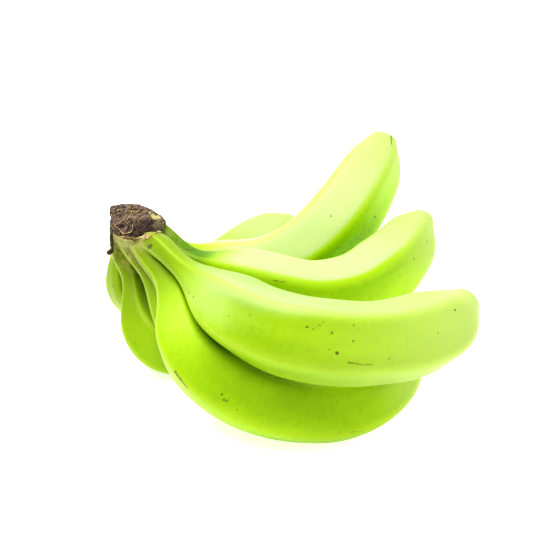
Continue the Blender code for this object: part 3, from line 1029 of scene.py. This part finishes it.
def cap_material(fresh, end):
    """Cut stalk tissue: sliced with a knife, then dried to cork. The eye sees dull brown with grey skin
    over it, tan torn fibres and one fresh cream patch, with painted shade that is near-black in the hollows
    and between the fibres and darker at the front right corner."""
    material, tree, shader = new_material("dried_stalk_cork")
    object_place = node(tree, "TexCoord").outputs["Object"]
    relief = node(tree, "Attribute", attribute_name="relief").outputs["Fac"]
    turned = node(tree, "Mapping", {"Vector": object_place, "Rotation": (0.0, 0.0, math.radians(-51.0))})
    stretched = node(tree, "Mapping", {"Vector": turned.outputs["Vector"],
                                       "Scale": (0.16, 1.0, 0.6)}).outputs["Vector"]
    # Fibres are 0.7 mm wide and 4 mm long.
    fibre = node(tree, "TexNoise", {"Vector": stretched, "Scale": 1400.0, "Detail": 4.0, "Roughness": 0.7,
                                    "Distortion": 0.8}).outputs["Fac"]
    cloud = noise_at(tree, object_place, 150.0, 4.0, 0.6)
    grain = noise_at(tree, object_place, 1100.0, 3.0, 0.7)
    share = ranged(tree, cloud, 0.40, 0.60, 0.0, 1.0)
    cork = mixed(tree, share, linear(CORK_BROWN), linear(CORK_GREY))
    # Bare fibres show where the grey skin is worn off.
    bare = ranged(tree, cloud, 0.42, 0.56, 0.95, 0.25)
    share = ranged(tree, fibre, 0.53, 0.61, 0.0, bare)
    cork = mixed(tree, share, cork, linear(CORK_FIBRE))
    # Painted shade: near-black between the fibres.
    share = ranged(tree, fibre, 0.49, 0.42, 0.0, 0.95)
    cork = mixed(tree, share, cork, linear(FIBRE_GAP_PAINTED_SHADE))
    # Painted shade: hollows are darker than what stands proud.
    share = ranged(tree, relief, 0.0, -0.6, 0.0, 0.9)
    cork = mixed(tree, share, cork, linear(HOLLOW_PAINTED_SHADE))
    # Painted shade darkens the front right corner; the right end is grey-green, and above it one patch was
    # cut fresh.
    apart = distance_to(tree, object_place, SHADED_FRONT_CORNER)
    share = eased(tree, apart, 0.013, 0.006, 0.0, 0.7)
    cork = mixed(tree, share, cork, linear(CORNER_PAINTED_SHADE))
    share = node(tree, "Math", {0: spots(tree, end, 0.004), 1: 0.6}, operation="MULTIPLY").outputs[0]
    cork = mixed(tree, share, cork, linear(CORK_END))
    cork = mixed(tree, spots(tree, fresh, 0.003), cork, linear(FRESH_CREAM))
    tree.links.new(cork, shader.inputs["Base Color"])
    shader.inputs["Roughness"].default_value = 0.75
    shader.inputs["IOR"].default_value = 1.45
    rough = node(tree, "Math", {0: fibre, 1: 1.0, 2: grain}, operation="MULTIPLY_ADD").outputs[0]
    bump = node(tree, "Bump", {"Height": rough, "Strength": 1.0, "Distance": 0.0012})
    tree.links.new(bump.outputs["Normal"], shader.inputs["Normal"])
    return material


def fibre_material():
    """Dry plant fibre: torn from the stalk and bleached to straw, dull and slightly uneven in colour."""
    material, tree, shader = new_material("dry_stalk_fibre")
    object_place = node(tree, "TexCoord").outputs["Object"]
    uneven = noise_at(tree, object_place, 700.0, 3.0)
    share = ranged(tree, uneven, 0.35, 0.65, 0.0, 1.0)
    straw = mixed(tree, share, linear("#94794E"), linear("#CDB98A"))
    tree.links.new(straw, shader.inputs["Base Color"])
    shader.inputs["Roughness"].default_value = 0.8
    return material


def scar_material():
    """Dried flower scar: shrunken black-brown tissue, rough and dull."""
    material, tree, shader = new_material("dried_blossom_scar")
    object_place = node(tree, "TexCoord").outputs["Object"]
    crumb = noise_at(tree, object_place, 1200.0, 4.0, 0.7)
    share = ranged(tree, crumb, 0.35, 0.7, 0.0, 1.0)
    dry = mixed(tree, share, linear("#241A0C"), linear("#6B5630"))
    tree.links.new(dry, shader.inputs["Base Color"])
    shader.inputs["Roughness"].default_value = 0.85
    bump = node(tree, "Bump", {"Height": crumb, "Strength": 0.8, "Distance": 0.0005})
    tree.links.new(bump.outputs["Normal"], shader.inputs["Normal"])
    return material


FLOOR_REACH = 40000.0
FLOOR_GLOW = 0.45


def build_floor():
    """White acrylic table top, lit a little from below, as for a product photograph on white."""
    corners = [(x * FLOOR_REACH, y * FLOOR_REACH, 0.0) for x, y in ((-1, -1), (1, -1), (1, 1), (-1, 1))]
    floor = mesh_object("floor", corners, [(0, 1, 2, 3)])
    material, tree, shader = new_material("white_acrylic_table")
    object_place = node(tree, "TexCoord").outputs["Object"]
    share = ranged(tree, noise_at(tree, object_place, 3.0, 2.0), 0.3, 0.7, 0.0, 1.0)
    white = mixed(tree, share, linear("#F2F2F2"), linear("#F5F5F5"))
    tree.links.new(white, shader.inputs["Base Color"])
    shader.inputs["Roughness"].default_value = 0.9
    shader.inputs["Specular IOR Level"].default_value = 0.1
    shader.inputs["Emission Color"].default_value = (1.0, 1.0, 1.0, 1.0)
    shader.inputs["Emission Strength"].default_value = FLOOR_GLOW
    floor.data.materials.append(material)
    return floor


# Soft lamps: name, place and aim in metres, width, depth and power in watts.
SOFTBOXES = (
    ("overhead_softbox", (-0.35, 0.05, 1.15), (0.0, 0.0, 0.04), 1.2, 0.9, 18.5),
    ("rear_softbox", (0.30, 1.20, 0.46), (0.0, 0.0, 0.06), 2.0, 0.7, 1.4),
    ("right_softbox", (1.05, -0.35, 0.50), (0.03, 0.0, 0.06), 0.6, 0.7, 4.5),
)


def softbox(name, place, aim, width, depth, power):
    """A soft rectangular lamp that the camera doesn't see."""
    lamp = bpy.data.lights.new(name, "AREA")
    lamp.shape = "RECTANGLE"
    lamp.size = width
    lamp.size_y = depth
    lamp.energy = power
    item = bpy.data.objects.new(name, lamp)
    item.location = place
    item.rotation_euler = (Vector(aim) - item.location).to_track_quat("-Z", "Y").to_euler()
    item.visible_camera = False
    bpy.context.scene.collection.objects.link(item)


# How bright the studio's walls are in front, and what is added above and behind.
GLOW_FRONT = 0.26
GLOW_ABOVE = 0.4
GLOW_BEHIND = 0.36


def build_light():
    """A white studio: brighter above and behind, dimmer at the front, with boxes overhead, behind and at
    the right."""
    world = bpy.data.worlds.new("studio")
    bpy.context.scene.world = world
    world.use_nodes = True
    tree = world.node_tree
    background = tree.nodes["Background"]
    way = node(tree, "TexCoord").outputs["Generated"]
    parts = node(tree, "SeparateXYZ", {0: way})
    above = node(tree, "MapRange", {0: parts.outputs["Z"], 1: 0.30, 2: 1.0, 3: 0.0, 4: 1.0})
    behind = node(tree, "MapRange", {0: parts.outputs["Y"], 1: -0.1, 2: 0.8, 3: 0.0, 4: 1.0})
    horizon = node(tree, "MapRange", {0: parts.outputs["Z"], 1: 0.14, 2: 0.04, 3: 0.0, 4: 1.0})
    glow = node(tree, "Math", {0: above.outputs[0], 1: GLOW_ABOVE, 2: GLOW_FRONT},
                operation="MULTIPLY_ADD").outputs[0]
    glow = node(tree, "Math", {0: behind.outputs[0], 1: GLOW_BEHIND, 2: glow},
                operation="MULTIPLY_ADD").outputs[0]
    glow = node(tree, "Math", {0: horizon.outputs[0], 1: glow}, operation="MAXIMUM").outputs[0]
    tree.links.new(glow, background.inputs["Strength"])
    background.inputs["Color"].default_value = (1.0, 1.0, 1.0, 1.0)
    for lamp in SOFTBOXES:
        softbox(*lamp)


def build_camera():
    """The photograph's viewing angle."""
    lens = bpy.data.cameras.new("camera")
    lens.lens = CAMERA_LENS
    lens.sensor_width = SENSOR_WIDTH
    camera = bpy.data.objects.new("camera", lens)
    camera.location = CAMERA_PLACE
    camera.rotation_euler = (CAMERA_PITCH, 0.0, 0.0)
    bpy.context.scene.collection.objects.link(camera)
    bpy.context.scene.camera = camera


def dress(piece, material, slot, *nodes):
    """Gives a piece its material and ties it to the frame."""
    piece.data.materials.clear()
    piece.data.materials.append(material)
    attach(piece, "root")
    if nodes:
        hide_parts(*nodes)


def main():
    """Builds and dresses every piece, then the studio."""
    lines = {name: centreline(rows) for name, rows in BANANAS.items()}
    scar_look = scar_material()
    bananas = []
    for number, name in enumerate(BANANAS):
        banana = build_banana(name, lines)
        bananas.append(banana)
        tree = shared_tree([banana])
        marks = place_marks(tree, MARKS.get(name, ()))
        looks = {**USUAL_LOOKS, **LOOKS.get(name, {})}
        skin_name = "green_peel_" + name.replace("_banana", "")
        peel = peel_material(skin_name, PEEL_SEED_STEP * number, marks, lines[name][3], looks)
        dress(banana, peel, "peel", name)
        dress(build_scar(name, lines), scar_look, "cork")
    cap = build_cap()
    cap_tree = shared_tree([cap])
    cork = cap_material(place_marks(cap_tree, FRESH_MARKS), place_marks(cap_tree, END_MARKS))
    dress(cap, cork, "cork", "crown")
    collar = build_collar(lines, cap_tree)
    dress(collar, collar_material(place_marks(shared_tree([collar]), COLLAR_MARKS)), "peel", "crown")
    straw = fibre_material()
    for number, pixels in enumerate(STRANDS):
        radius = STRAND_RADIUS if number else FIRST_STRAND_RADIUS
        dress(build_strand("stalk_fibre_%d" % (number + 1), cap_tree, pixels, radius), straw, "cork")
    crown_tree = shared_tree([cap, collar] + bananas)
    for number, pixels in enumerate(TORN_EDGES):
        edge = build_strand("torn_skin_edge_%d" % (number + 1), crown_tree, pixels, TORN_EDGE_RADIUS)
        dress(edge, straw, "cork")
    for number, (pixels, depth, thick) in enumerate(DARK_STRIPS):
        path = [at_depth(px, py, depth) for px, py in pixels]
        dress(build_tube("dark_collar_strip_%d" % (number + 1), path, thick), scar_look, "cork")
    build_floor()
    build_light()
    build_camera()
    view = bpy.context.scene.view_settings
    view.view_transform = "Standard"
    view.look = "High Contrast"


main()
